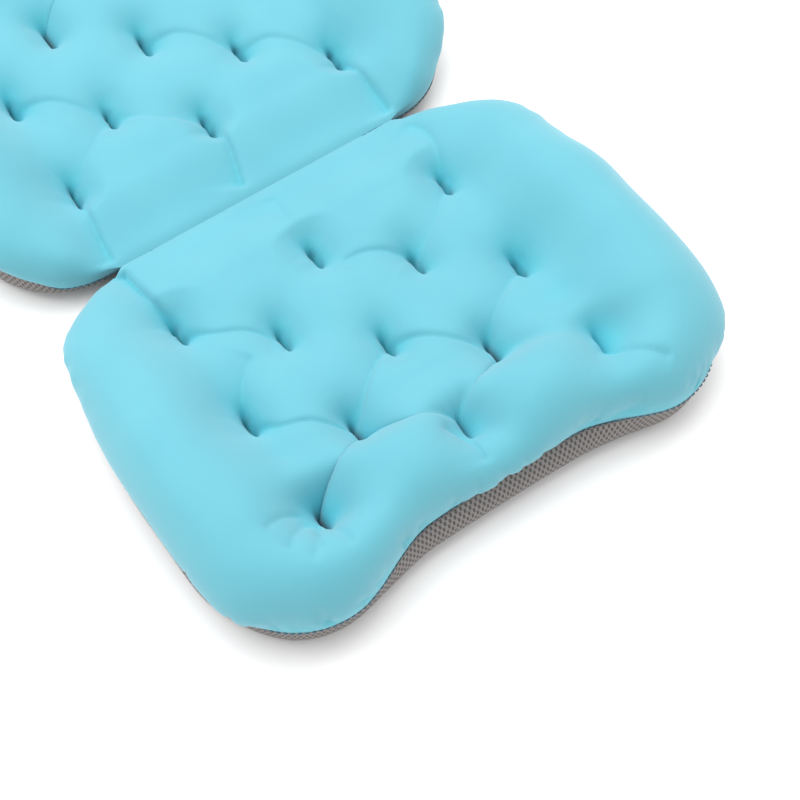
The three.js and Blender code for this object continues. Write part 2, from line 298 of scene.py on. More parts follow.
def seam_outline(fuller, scoop_shift):
    """The sewn edge in plan, anticlockwise from the middle of the fold."""
    h, w, e, end, low = FOLD_HALF, HALF_WIDTH, FOLD_EDGE, LENGTH, LENGTH - SCOOP
    corner, sag = end - CORNER_RUN, low - SCOOP_SAG
    half = np.vstack([
        bezier((0, e), (h / 3, e), (2 * h / 3, e), (h, e)),
        bezier((h, e), (h + SHOULDER_REACH + fuller, e), (w, SHOULDER_RISE - fuller), (w, SIDE_START)),
        bezier((w, SIDE_START), (w, 0.150), (w, 0.165), (w, corner)),
        bezier((w, corner), (w, end - 0.023), (w - 0.024, end), (LOBE_X, end)),
        bezier((LOBE_X, end), (0.088, end), (0.068, low + 0.001), (SCOOP_X, low)),
        bezier((SCOOP_X, low), (0.030, sag), (0.015, sag), (0, sag)),
    ])
    loop = np.vstack([half, [[0, sag]], (half[1:] * [-1, 1])[::-1]])
    middle = smoothstep(0.19, 0.23, loop[:, 1]) * (1 - smoothstep(0.07, 0.14, np.abs(loop[:, 0])))
    loop[:, 0] += scoop_shift * middle
    loop[:, 1] += CORNER_LEAN * smoothstep(0.04, 0.12, loop[:, 0]) * smoothstep(0.15, 0.23, loop[:, 1])
    return resample(loop, OUTLINE_POINTS)


def outward(loop):
    along = np.roll(loop, -1, 0) - np.roll(loop, 1, 0)
    along /= lengths(along)
    return np.stack([along[:, 1], -along[:, 0]], 1)


def ray_reach(loop, angles):
    """How far the loop lies from the pad's centre along each angle."""
    d = np.stack([np.cos(angles), np.sin(angles)], 1)
    a = loop - PAD_CENTRE
    s = np.roll(a, -1, 0) - a
    det = d[:, :1] * s[:, 1] - d[:, 1:] * s[:, 0]
    t = (a[:, 0] * s[:, 1] - a[:, 1] * s[:, 0]) / det
    u = (a[:, 0] * d[:, 1:] - a[:, 1] * d[:, :1]) / det
    return np.where((t > 0) & (u >= -1e-9) & (u <= 1 + 1e-9), t, 0).max(1)


def pad_form(fuller, scoop_shift):
    """Stuffed form of a pad before tufting, as profiles along rays from its centre."""
    seam = seam_outline(fuller, scoop_shift)
    free = smoothstep(FOLD_EDGE, FOLD_EDGE + 0.045, seam[:, 1])
    front = smoothstep(*FRONT_SPAN, seam[:, 1])
    back = 1 - smoothstep(0.02, 0.07, seam[:, 1])
    lobes = smoothstep(0.222, 0.246, seam[:, 1])
    middle = front * (1 - smoothstep(0.06, 0.10, np.abs(seam[:, 0] - scoop_shift)))
    bulge = BULGE * free * (1 - lobes) * (1 - middle) + FOLD_BULGE * (1 - free)
    bulge = even_out(bulge, 40)
    widest = seam + outward(seam) * bulge[:, None]
    seam_z = FOLD_Z + (SEAM_Z - FOLD_Z) * free
    widest_z = FOLD_WIDEST_Z + (WIDEST_Z - FOLD_WIDEST_Z) * free
    widest_z = widest_z - (WIDEST_Z - SEAM_Z - FRONT_WIDEST_GAP) * front
    widest_z = even_out(widest_z, 60)
    along = 1 - smoothstep(0.055, 0.095, np.abs(seam[:, 0]))
    run = SIDE_RUN + (FRONT_RUN - SIDE_RUN) * front + (BACK_RUN - SIDE_RUN) * back * along
    run = run + SHOULDER_RUN * back * (1 - along)
    run = even_out(run, 40)

    angles = -math.pi + 2 * math.pi * np.arange(RAYS) / RAYS
    seam_angle = np.arctan2(seam[:, 1] - PAD_CENTRE[1], seam[:, 0] - PAD_CENTRE[0])
    order = np.argsort(seam_angle)

    def around(values):
        return np.interp(angles, seam_angle[order], values[order], period=2 * math.pi)

    seam_reach, wide_reach = ray_reach(seam, angles), ray_reach(widest, angles)
    share = 1 - (1 - np.linspace(0, 1, TOP_STEPS)) ** 1.6
    r_top = wide_reach[:, None] * share
    flat = np.stack([r_top * np.cos(angles)[:, None], r_top * np.sin(angles)[:, None]], -1)
    flat = PAD_CENTRE + flat.reshape(-1, 2)
    near, low = np.zeros(len(flat)), np.zeros(len(flat))
    for at in range(0, len(flat), 4000):
        part = slice(at, at + 4000)
        weight = (np.linalg.norm(flat[part, None] - widest[None], axis=2) / run + 1e-9) ** -NEAR_POWER
        near[part] = NEAR_GAIN * weight.sum(1) ** (-1 / NEAR_POWER)
        low[part] = (weight * widest_z).sum(1) / weight.sum(1)
    in_x = 1 - smoothstep(0.070, 0.125, np.abs(flat[:, 0]))
    in_y = 1 - smoothstep(0.175, 0.215, flat[:, 1])
    forward = smoothstep(*FORWARD_SPAN, flat[:, 1])
    middle_z = FIELD_Z + (FRONT_FIELD_Z - FIELD_Z) * forward
    crest = BORDER_Z + (middle_z - BORDER_Z) * in_x * in_y
    for x, rise in LOBES:
        across, ahead = (flat[:, 0] - x) / LOBE_WIDE, (flat[:, 1] - LOBE_Y) / LOBE_LONG
        crest += rise * np.exp(-across ** 2 - ahead ** 2)
    crest -= FOLD_FALL * (1 - smoothstep(0.03, 0.13, flat[:, 1]))
    shoulder = smoothstep(0.06, 0.12, np.abs(flat[:, 0])) * (1 - smoothstep(0.02, 0.12, flat[:, 1]))
    crest -= SHOULDER_FALL * shoulder
    t = np.clip(near, 0, 1)
    z_top = low + (crest - low) * (1 - (1 - t) ** CROWN_POWER) ** (1 / CROWN_POWER)
    z_top = z_top.reshape(RAYS, TOP_STEPS)
    wide_z, edge_z = around(widest_z), around(seam_z)
    z_top[:, -1] = wide_z
    turn = np.linspace(0, math.pi / 2, UNDER_STEPS + 1)[1:]
    r_under = seam_reach[:, None] + (wide_reach - seam_reach)[:, None] * np.cos(turn)
    z_under = wide_z[:, None] - (wide_z - edge_z)[:, None] * np.sin(turn)
    reach, height = np.hstack([r_top, r_under]), np.hstack([z_top, z_under])
    length = np.cumsum(np.hypot(np.diff(reach), np.diff(height)), 1)
    length = np.hstack([np.zeros((RAYS, 1)), length])
    return angles, reach, height, length


def on_form(form, flat):
    """Places of flat pattern points on the stuffed form."""
    _, reach, height, length = form
    turn = np.arctan2(flat[:, 1], flat[:, 0])
    ray = (turn + math.pi) / (2 * math.pi) * RAYS
    first = np.floor(ray).astype(int)
    part = ray - first
    out = np.zeros((len(flat), 3))
    for n, point in enumerate(flat):
        i, j, w = first[n] % RAYS, (first[n] + 1) % RAYS, part[n]
        end = length[i, -1] * (1 - w) + length[j, -1] * w
        share = min(1.0, math.hypot(*point) / end)
        r = z = 0.0
        for k, weight in ((i, 1 - w), (j, w)):
            r += weight * np.interp(share * length[k, -1], length[k], reach[k])
            z += weight * np.interp(share * length[k, -1], length[k], height[k])
        out[n] = (r * math.cos(turn[n]), r * math.sin(turn[n]), z)
    out[:, :2] += PAD_CENTRE
    return out


def tuft_places():
    """Staggered rows of three and two tufts, from the fold outwards. Tuft numbers start at 1."""
    return [(COLUMNS[c], ROWS[r]) for r in range(5) for c in range(r % 2, 5, 2)]


def pattern_mesh(form):
    """Even triangles over the flat cut of the cover, the sewn edge first."""
    angles, _, _, length = form
    end = length[:, -1]
    edge = np.stack([end * np.cos(angles), end * np.sin(angles)], 1)
    around = np.linalg.norm(np.roll(edge, -1, 0) - edge, axis=1).sum()
    rim = resample(edge, int(round(around / RIM_STEP)))
    grid = np.array([(MESH_X * i, MESH_Y * (j + 0.5 * (i % 2)))
                     for i in range(-70, 71) for j in range(-60, 61)])
    turn = np.arctan2(grid[:, 1], grid[:, 0])
    limit = np.interp(turn, np.append(angles, math.pi), np.append(end, end[0]))
    inside = grid[np.linalg.norm(grid, axis=1) < limit - 0.6 * RIM_STEP]
    flat = np.vstack([rim, inside])
    loop = [(i, (i + 1) % len(rim)) for i in range(len(rim))]
    result = geometry.delaunay_2d_cdt([Vector(p) for p in flat], loop, [], 1, 1e-7)
    return flat, np.array(result[2]), len(rim)


def mesh_edges(tris):
    pairs = np.sort(np.vstack([tris[:, [0, 1]], tris[:, [1, 2]], tris[:, [2, 0]]]), axis=1)
    return np.unique(pairs, axis=0)


class Neighbours:
    """Each point's mean over the points that share an edge with it."""

    def __init__(self, edges, count):
        both = np.vstack([edges, edges[:, ::-1]])
        self.at, self.other, self.count = both[:, 0], both[:, 1], count
        self.degree = np.bincount(self.at, minlength=count).astype(float)

    def total(self, values):
        return np.bincount(self.at, values[self.other], minlength=self.count)

    def mean(self, values):
        return self.total(values) / self.degree


def colour_edges(edges, count):
    """Groups of edges that share no point, so that a group can be moved at once."""
    used, group = [0] * count, np.zeros(len(edges), int)
    for n, (i, j) in enumerate(edges):
        taken, c = used[i] | used[j], 0
        while taken >> c & 1:
            c += 1
        group[n] = c
        used[i] |= 1 << c
        used[j] |= 1 << c
    return group


def vertex_normals(points, tris):
    face = np.cross(points[tris[:, 1]] - points[tris[:, 0]], points[tris[:, 2]] - points[tris[:, 0]])
    total = np.zeros_like(points)
    for k in range(3):
        for axis in range(3):
            total[:, axis] += np.bincount(tris[:, k], face[:, axis], minlength=len(points))
    return total / np.maximum(lengths(total), 1e-15)


def sew_tufts(full, flat, hidden):
    """The stuffed form drawn down at its tufts, and the points that are sewn there."""
    sewn = full.copy()
    keep = np.ones(len(full))
    pins = {}
    for n, (x, y) in enumerate(tuft_places(), 1):
        level = hidden.get(n, TUFT_Z)
        dy = full[:, 1] - y
        if y > ROWS[3]:
            dy = np.where(dy > 0, FRONT_DIP_STEEPER * dy, dy)
        gap = np.hypot(full[:, 0] - x, np.maximum(0, np.abs(dy) - DIP_HALF))
        wide = DIP_WIDE + FRONT_DIP_WIDER * float(smoothstep(0.12, 0.18, y))
        pull = np.exp(-(gap / wide) ** 2) * (full[:, 2] - level) / np.maximum(full[:, 2] - TUFT_Z, 1e-3)
        keep *= 1 - np.clip(pull, 0, 1)
        for k in (-1, 0, 1):
            spot = np.array([x, y + k * MESH_Y]) - PAD_CENTRE
            i = int(np.argmin(np.linalg.norm(flat - spot, axis=1)))
            pins[i] = (x, y + k * PIN_STEP, level)
    high = smoothstep(WIDEST_Z - 0.002, WIDEST_Z + 0.012, full[:, 2])
    sewn[:, 2] -= (sewn[:, 2] - TUFT_Z) * (1 - keep) * high
    for i, place in pins.items():
        sewn[i] = place
    return sewn, list(pins)


def cloth_lengths(sewn, full, flat, edges, seed):
    """Length of the cloth along each edge, with its spare cloth and small irregularities."""
    rng = np.random.default_rng(seed)
    uneven = np.zeros(len(full))
    for _ in range(UNEVEN_WAVES):
        wave = rng.normal(size=2)
        wave *= rng.uniform(0.6, 1.4) * 2 * math.pi / UNEVEN_SPAN / np.linalg.norm(wave)
        uneven += np.cos(full[:, :2] @ wave + rng.uniform(0, 2 * math.pi))
    uneven = 1 + UNEVEN_SHARE * uneven / math.sqrt(UNEVEN_WAVES / 2)
    off = np.maximum(np.abs(full[:, 0]) - 0.09, np.abs(full[:, 1] - 0.130) - 0.072)
    field = 1 - smoothstep(0.0, 0.05, off)
    front = smoothstep(0.180, 0.205, full[:, 1])
    front *= 1 - smoothstep(0.03, 0.08, np.abs(full[:, 0]))
    way = flat[edges[:, 1]] - flat[edges[:, 0]]
    way /= lengths(way)
    out = flat[edges].mean(1)
    out /= np.maximum(lengths(out), 1e-9)
    field, front, uneven = field[edges].mean(1), front[edges].mean(1), uneven[edges].mean(1)
    border = BORDER_CUT + BORDER_SPARE * (way * out).sum(1) ** 2
    forward = smoothstep(*FORWARD_SPAN, full[:, 1])[edges].mean(1)
    growth = border + (FIELD_CUT + FIELD_SPARE * forward - border) * field
    growth = growth * (1 - front) + front * (FRONT_CUT + FRONT_SPARE * way[:, 1] ** 2)
    return np.linalg.norm(sewn[edges[:, 0]] - sewn[edges[:, 1]], axis=1) * growth * uneven


def settle(sewn, full, tris, edges, rest, free):
    """Lets the sewn cover swell towards the stuffed form until its cloth is taut."""
    group = colour_edges(edges, len(full))
    groups = []
    for c in range(group.max() + 1):
        i, j = edges[group == c].T
        weight = np.maximum(free[i] + free[j], 1e-9)
        groups.append((i, j, rest[group == c], (free[i] / weight)[:, None], (free[j] / weight)[:, None]))
    around = Neighbours(edges, len(full))

    def bend(points):
        return np.stack([around.mean(points[:, k]) for k in range(3)], 1) - points

    place, speed = sewn.copy(), np.zeros_like(sewn)
    for _ in range(SOLVER_STEPS):
        normal = vertex_normals(place, tris)
        push = ((full - place) * normal).sum(1) / PRESSURE_DEPTH
        push = np.clip(push, PRESSURE_LEAST, PRESSURE_MOST)[:, None]
        speed = DAMPING * speed + PRESSURE * normal * push - BENDING * bend(bend(place))
        speed = speed * free[:, None]
        speed *= np.minimum(1, TOP_SPEED / np.maximum(lengths(speed), 1e-12))
        before = place
        place = place + speed
        for _ in range(STRETCH_ROUNDS):
            for i, j, wanted, first, second in groups:
                d = place[j] - place[i]
                size = np.sqrt((d * d).sum(1))
                extra = size - wanted
                share = np.where(extra > 0, STRETCHED_PULL, SLACK_PUSH)
                d *= (share * extra / np.maximum(size, 1e-9))[:, None]
                place[i] += d * first
                place[j] -= d * second
        wall = FOLD_WALL + np.clip(place[:, 2] - FOLD_WIDEST_Z, 0, None) * math.tan(FOLD_WALL_LEAN)
        place[:, 1] = np.where(free > 0, np.maximum(place[:, 1], wall), place[:, 1])
        place[:, 2] = np.where(free > 0, np.maximum(place[:, 2], LOWEST_Z), place[:, 2])
        speed = place - before
    return place


def stuff_pad(seed, fuller, scoop_shift, hidden):
    """The stuffed and tufted cover, held at its sewn edge and at its tufts."""
    form = pad_form(fuller, scoop_shift)
    flat, tris, rim_count = pattern_mesh(form)
    full = on_form(form, flat)
    sewn, pins = sew_tufts(full, flat, hidden)
    edges = mesh_edges(tris)
    rest = cloth_lengths(sewn, full, flat, edges, seed)
    free = np.ones(len(full))
    free[:rim_count] = 0
    free[pins] = 0
    return settle(sewn, full, tris, edges, rest, free), tris, flat, rim_count


def refine(points, tris, flat, rim_count):
    """One round of smooth subdivision, the sewn edge kept first and in order."""
    edges = mesh_edges(tris)
    index = {(int(i), int(j)): n for n, (i, j) in enumerate(edges)}
    count = len(points)
    wing = np.zeros_like(points[edges[:, 0]])
    sides = np.zeros(len(edges))
    corner = np.zeros((len(tris), 3), int)
    for f, tri in enumerate(tris):
        for k in range(3):
            i, j, far = int(tri[k]), int(tri[(k + 1) % 3]), int(tri[(k + 2) % 3])
            n = index[(min(i, j), max(i, j))]
            wing[n] += points[far]
            sides[n] += 1
            corner[f, k] = n
    ends = points[edges[:, 0]] + points[edges[:, 1]]
    inner = sides == 2
    middle = np.where(inner[:, None], 0.375 * ends + 0.125 * wing, 0.5 * ends)
    around = Neighbours(edges, count)
    degree = around.degree[:, None]
    total = np.stack([around.total(points[:, k]) for k in range(3)], 1)
    beta = (0.625 - (0.375 + 0.25 * np.cos(2 * math.pi / degree)) ** 2) / degree
    moved = (1 - degree * beta) * points + beta * total
    moved[:rim_count] = points[:rim_count]
    flat_all = np.vstack([flat, 0.5 * (flat[edges[:, 0]] + flat[edges[:, 1]])])
    m = corner + count
    fine = np.vstack([
        np.stack([tris[:, 0], m[:, 0], m[:, 2]], 1), np.stack([tris[:, 1], m[:, 1], m[:, 0]], 1),
        np.stack([tris[:, 2], m[:, 2], m[:, 1]], 1), m])
    return np.vstack([moved, middle]), fine, flat_all


def calm_field(points, tris, rim_count, overlap, reach):
    """Draws the quilted field tight between its tufts, and the two lips together at the fold."""
    points = points.copy()
    free = np.arange(len(points)) >= rim_count
    x, y = points[:, 0].copy(), points[:, 1].copy()

    # The field, with a pointed dip at each tuft
    keep = np.ones(len(points))
    for tuft_x, tuft_y in tuft_places():
        gap = np.hypot(x - tuft_x, np.maximum(0, np.abs(y - tuft_y) - BAR_HALF))
        keep *= 1 - np.exp(-(gap / CUSP) ** CUSP_POWER)
    level = CALM_Z + FRONT_CALM_RISE * smoothstep(0.11, 0.17, y)
    drawn = TUFT_Z + (level - TUFT_Z) * keep
    share = 1 - smoothstep(0.080, 0.140, np.abs(x))
    share *= smoothstep(0.012, 0.045, y) * (1 - smoothstep(0.162 + reach, 0.196 + reach, y))
    points[:, 2] += CALM * share * (drawn - points[:, 2])

    # The lip at the fold, kept low, rounded, and drawn up to the other pad's lip
    lid = LID_Z + LID_STEP * overlap + LID_RISE * smoothstep(0.0, 0.045, y)
    lid -= LIP_ROUND * np.exp(-(np.clip(y - LIP_ROUND_START, 0, None) / LIP_ROUND_RUN) ** 2)
    share = (1 - smoothstep(0.045, 0.075, y)) * (1 - smoothstep(0.090, 0.125, np.abs(x)))
    points[:, 2] -= share * np.clip(points[:, 2] - lid, 0, None)
    lip = np.exp(-y / LIP_RUN) * smoothstep(FOLD_Z + 0.003, FOLD_WIDEST_Z, points[:, 2])
    lip = lip * (1 - smoothstep(0.090, 0.100, np.abs(x)))
    points[:, 1] = np.where(free, y + lip * (LIP_Y - LIP_STEP * overlap - y), y)
    points[free, 1] = np.maximum(points[free, 1], LIP_STOP - LIP_STOP_STEP * overlap)

    # The border beside the field, evened out
    around = Neighbours(mesh_edges(tris), len(points))
    band = smoothstep(0.092, 0.106, np.abs(x)) * (1 - smoothstep(0.135, 0.155, np.abs(x)))
    band *= smoothstep(0.010, 0.040, y) * (1 - smoothstep(0.170, 0.200, y))
    for _ in range(BORDER_PASSES):
        points[:, 2] += band * BORDER_SHARE * (around.mean(points[:, 2]) - points[:, 2])

    # Slits, where the cloth on both sides of a bar closes over it
    for tuft_x, tuft_y in tuft_places():
        dx = x - tuft_x
        dy = np.maximum(0, np.abs(y - tuft_y) - BAR_HALF)
        near = np.exp(-(dx / SLIT_PINCH_REACH) ** 2 - (dy / SLIT_PINCH_REACH) ** 2)
        points[:, 0] -= SLIT_PINCH * dx * near
    return points


# Mask for painted shade: the cloth along each visible tuft bar is painted dark navy-teal where the slits
# lie in shade
def slit_shade_share(points, hidden):
    """1 along the bar of each tuft in sight, 0 a few millimetres away."""
    share = np.zeros(len(points))
    for n, (x, y) in enumerate(tuft_places(), 1):
        if n not in hidden:
            dx = points[:, 0] - x
            dy = np.maximum(0, np.abs(points[:, 1] - y) - SLIT_HALF)
            share = np.maximum(share, np.exp(-(dx / SLIT_WIDE) ** 2 - (dy / SLIT_FADE) ** 2))
    return share


def press_creases(points, creases):
    """Folds pressed into the cloth along lines in plan: a steep side, a gentle side, faded ends."""
    move = np.zeros_like(points)
    for depth, steep, gentle, line in creases:
        line = np.array(line, float) / 1000
        knots = run_along(line)
        at = np.linspace(0, knots[-1], CREASE_POINTS)
        path = np.stack([np.interp(at, knots, line[:, k]) for k in range(2)], 1)
        for _ in range(CREASE_PASSES):
            path[1:-1] = (path[:-2] + path[2:] + 2 * path[1:-1]) / 4
        along = np.gradient(path, axis=0)
        along /= lengths(along)
        lo, hi = path.min(0) - CREASE_MARGIN, path.max(0) + CREASE_MARGIN
        near = np.flatnonzero(((points[:, :2] > lo) & (points[:, :2] < hi)).all(1))
        gap = points[near, None, :2] - path[None]
        nearest = np.argmin((gap ** 2).sum(2), 1)
        gap = gap[np.arange(len(near)), nearest]
        side = along[nearest, 0] * gap[:, 1] - along[nearest, 1] * gap[:, 0]
        away = np.hypot(gap[:, 0], gap[:, 1])
        t = nearest / (len(path) - 1)
        fade = smoothstep(0.0, 0.08, t) * (1 - smoothstep(0.92, 1.0, t))
        dip = np.exp(-(away / (np.where(side > 0, steep, gentle) / 1000)) ** CREASE_POWER)
        move[near, 2] -= depth / 1000 * fade * dip
        pull = CREASE_PULL * np.exp(-(away / CREASE_PULL_REACH) ** 2) * fade
        move[near, :2] -= gap * pull[:, None]
    return points + move


def pucker_seam(points, tris, flat, rim_count, seed):
    """Short gathers in the cloth above the sewn edge, most of them along the front."""
    normal = vertex_normals(points, tris)
    rim = points[:rim_count]
    run = run_along(np.vstack([rim, rim[:1]]))
    near = np.flatnonzero(np.linalg.norm(points[:, :2] - PAD_CENTRE, axis=1) > 0.07)
    gap = np.linalg.norm(flat[near, None] - flat[None, :rim_count], axis=2)
    along, edge = run[gap.argmin(1)], gap.min(1)
    rng = np.random.default_rng(seed)
    depth = np.zeros(len(near))
    spots, sides = np.flatnonzero(rim[:, 1] > 0.20), np.flatnonzero(rim[:, 1] > 0.05)
    for k in range(GATHERS):
        at = run[rng.choice(spots if k < FRONT_GATHERS else sides)]
        reach, wide = rng.uniform(*GATHER_REACH), rng.uniform(*GATHER_WIDTH)
        at = at + rng.uniform(-0.003, 0.003) + rng.uniform(-0.3, 0.3) * edge
        way = np.abs(along - at)
        way = np.minimum(way, run[-1] - way)
        line = np.exp(-(way / wide) ** 2) * (1 - smoothstep(0.3 * reach, reach, edge))
        depth += rng.uniform(*GATHER_DEPTH) * line
    depth *= smoothstep(0.001, 0.007, edge)
    points = points.copy()
    points[near] -= normal[near] * depth[:, None]
    return points


# Depth, width of the steep side, width of the gentle side and line of each fold, in millimetres.
# The steep side is to the left of the line's direction.
LOWER_CREASES = [
    (7, 2.0, 8.0, [(94, 2), (94, 18), (93, 34), (91, 45), (90, 56)]),
    (2.5, 2.0, 10.0, [(90, 58), (76, 74), (61, 81), (45, 94)]),
    (2.5, 2.0, 12.0, [(-6, 73), (-17, 74), (-29, 78), (-39, 84), (-47, 88), (-45, 94)]),
    (2, 4.0, 12.0, [(-2, 8), (1, 35), (4, 45), (0, 58)]),
    (2.5, 2.5, 10.0, [(67, 98), (80, 109), (90, 122), (90, 130)]),
    (4.0, 2.0, 9.0, [(0, 130), (24, 148), (39, 160), (45, 166)]),
    (3.0, 2.0, 10.0, [(0, 130), (-13, 138), (-28, 152), (-45, 166)]),
    (2.5, 3.0, 10.0, [(-90, 58), (-69, 80), (-60, 85), (-53, 88), (-45, 94)]),
    (3, 2.5, 10.0, [(-90, 130), (-63, 148), (-51, 155), (-45, 166)]),
    (3, 2.0, 9.0, [(90, 130), (78, 146), (66, 150), (54, 160), (45, 166)]),
    (3, 4.0, 10.0, [(-96, 8), (-101, 22), (-99, 34), (-95, 46), (-90, 58)]),
    (2.6, 1.8, 3.5, [(95, 205), (101, 214), (106, 230)]),
    (2.4, 1.8, 3.5, [(91, 208), (92, 218), (91, 234)]),
    (2.6, 1.8, 3.5, [(99, 204), (110, 210), (121, 220)]),
    (2.0, 1.8, 3.5, [(100, 198), (113, 199), (125, 204)]),
    (2.0, 1.8, 3.5, [(97, 209), (106, 221), (113, 232)]),
    (3.0, 2.5, 6.0, [(-84, 206), (-90, 214), (-98, 224), (-110, 238)]),
    (3.0, 2.5, 6.0, [(14, 200), (8, 207), (5, 216), (6, 231)]),
]
UPPER_CREASES = [
    (5.0, 2.2, 9.0, [(0, 56), (2, 42), (0, 30), (-4, 16), (-7, 7)]),
    (5.0, 2.2, 9.0, [(90, 56), (93, 42), (94, 28), (95, 14), (95, 4)]),
    (4.0, 2.2, 9.0, [(-90, 56), (-91, 42), (-93, 28), (-95, 14), (-95, 4)]),
    (2, 2.5, 9.0, [(0, 58), (-22, 70), (-45, 94)]),
    (2, 2.5, 9.0, [(45, 94), (62, 88), (90, 58)]),
    (2, 2.5, 9.0, [(-45, 94), (-60, 80), (-90, 58)]),
    (2, 2.5, 9.0, [(0, 130), (20, 120), (45, 94)]),
    (2, 2.5, 9.0, [(-90, 130), (-70, 118), (-45, 94)]),
]
# Tufts that the lobes close over, by number, and the height of the cloth there
LOWER_HIDDEN = {11: 0.034, 12: 0.027}
UPPER_HIDDEN = {10: 0.024, 11: 0.030, 12: 0.030}


def add_mesh(name, points, faces, material, smooth=True):
    mesh = bpy.data.meshes.new(name)
    mesh.from_pydata(np.asarray(points).tolist(), [], [list(map(int, f)) for f in faces])
    mesh.update()
    mesh.polygons.foreach_set("use_smooth", [smooth] * len(mesh.polygons))
    piece = bpy.data.objects.new(name, mesh)
    bpy.context.scene.collection.objects.link(piece)
    mesh.materials.append(material)
    return piece


def set_pattern(piece, values):
    attribute = piece.data.attributes.new("cloth", "FLOAT_VECTOR", "POINT")
    full = np.zeros((len(values), 3), np.float32)
    full[:, :values.shape[1]] = values
    attribute.data.foreach_set("vector", full.ravel())


def set_share(piece, name, values):
    attribute = piece.data.attributes.new(name, "FLOAT", "POINT")
    attribute.data.foreach_set("value", np.asarray(values, np.float32))


# Mask for painted bounce light: the lower a point lies in its hollow, the more a lighter, richer blue is
# painted there to stand in for light bounced between the folds
def painted_bounce_share(points, tris):
    """How far each point lies below the cloth round it, from 0 to 1."""
    around = Neighbours(mesh_edges(tris), len(points))
    level = points[:, 2].copy()
    for _ in range(PAINTED_BOUNCE_PASSES):
        level = 0.5 * level + 0.5 * around.mean(level)
    return np.clip((level - points[:, 2]) / PAINTED_BOUNCE_DEPTH, 0, 1)


def thicken(piece, thickness):
    shell = piece.modifiers.new("thickness", "SOLIDIFY")
    shell.thickness = thickness
    shell.offset = -1
    shell.use_even_offset = False


def base_form(points, rim_count, scoop_shift):
    """The mesh underside: a wall that swells below the seam, rolled under to a flat sole."""
    rim = points[:rim_count]
    out = outward(rim[:, :2])
    front = smoothstep(*FRONT_SPAN, rim[:, 1])
    middle = even_out(front * (1 - smoothstep(0.05, 0.10, np.abs(rim[:, 0] - scoop_shift))), 10)
    back = 1 - smoothstep(0.006, 0.05, rim[:, 1])
    swell = WALL_SWELL + SCOOP_SWELL * middle - LOBE_DRAW * front * (1 - middle)
    swell = even_out(swell * (1 - back), 6)
    waist = np.minimum(WAIST_Z, rim[:, 2] - WAIST_GAP)
    roll = even_out(SOLE_ROLL + FOLD_SOLE_ROLL * back, 6)
    rings = []
    for a in np.linspace(0, 1, WALL_RINGS):
        off = swell * math.sin(a * math.pi / 2)
        z = rim[:, 2] - (rim[:, 2] - waist) * a
        rings.append(np.column_stack([rim[:, :2] + out * off[:, None], z]))
    for a in np.linspace(0, 1, ROLL_RINGS + 1)[1:]:
        off = swell - roll * (1 - math.cos(a * math.pi / 2))
        z = waist * (1 - math.sin(a * math.pi / 2))
        rings.append(np.column_stack([rim[:, :2] + out * off[:, None], z]))
    sole = rings[-1][:, :2]
    middle_point = sole.mean(0)
    for share in np.linspace(1, 0, SOLE_RINGS + 2)[1:-1]:
        spot = middle_point + (sole - middle_point) * share
        lift = np.zeros(rim_count)
        for x, y in tuft_places():
            gap = np.hypot(spot[:, 0] - x, np.maximum(0, np.abs(spot[:, 1] - y) - DIMPLE_HALF))
            lift += DIMPLE * np.exp(-(gap / DIMPLE_WIDE) ** 2)
        rings.append(np.column_stack([spot, lift]))
    count = len(rings)
    verts = np.vstack(rings + [[[middle_point[0], middle_point[1], 0]]])
    faces = []
    for k in range(count - 1):
        for i in range(rim_count):
            j = (i + 1) % rim_count
            faces.append((k * rim_count + i, (k + 1) * rim_count + i,
                          (k + 1) * rim_count + j, k * rim_count + j))
    last = (count - 1) * rim_count
    for i in range(rim_count):
        faces.append((last + i, len(verts) - 1, last + (i + 1) % rim_count))
    around = run_along(rim)
    pattern = np.zeros((len(verts), 3))
    down = np.zeros(rim_count)
    for k, ring in enumerate(rings):
        if k:
            down = down + np.linalg.norm(ring - rings[k - 1], axis=1)
        here = slice(k * rim_count, (k + 1) * rim_count)
        pattern[here] = np.column_stack([around, down, np.full(rim_count, k)])
    return verts, faces, pattern, around


def set_base_pattern(base, verts, pattern, around, rim):
    """Cloth places on the base: along and down its wall, flat under its sole."""
    corner = base.data.attributes.new("cloth", "FLOAT_VECTOR", "CORNER")
    values = np.zeros((len(base.data.loops), 3), np.float32)
    whole = np.linalg.norm(rim[-1] - rim[0]) + around[-1]
    for polygon in base.data.polygons:
        wall = max(polygon.vertices) // len(rim) < WALL_RINGS + ROLL_RINGS
        for loop in polygon.loop_indices:
            v = base.data.loops[loop].vertex_index
            if wall:
                values[loop] = pattern[v]
                if pattern[v][0] == 0 and max(pattern[u][0] for u in polygon.vertices) > whole / 2:
                    values[loop][0] = whole
            else:
                values[loop] = verts[v]
    corner.data.foreach_set("vector", values.ravel())


def filling_form(points, tris, flat, rim_count):
    """Stuffing: the cover's form drawn in and lowered, open at the tufts, on a flat underside."""
    count = len(points)
    edge_gap = np.linalg.norm(flat[:, None] - flat[None, :rim_count], axis=2).min(1)
    inset = 1 - FILL_INSET * (1 - smoothstep(0.0, FILL_INSET_RUN, edge_gap))[:, None]
    spread = points[:, :2] - PAD_CENTRE
    top = np.column_stack([PAD_CENTRE + spread * inset, points[:, 2] - FILL_DROP])
    for x, y in tuft_places():
        top[np.hypot(points[:, 0] - x, points[:, 1] - y) < FILL_TUFT_CLEAR, 2] = 0
    top[:, 2] = np.maximum(top[:, 2], FILL_LEAST_Z)
    under = np.column_stack([PAD_CENTRE + spread * FILL_UNDER_SHARE, np.full(count, FILL_UNDER_Z)])
    under[:rim_count, 2] = FILL_LEAST_Z
    sides = []
    for i in range(rim_count):
        j = (i + 1) % rim_count
        sides += [(i, count + i, count + j), (i, count + j, j)]
    return np.vstack([top, under]), np.vstack([tris, tris[:, ::-1] + count, sides])


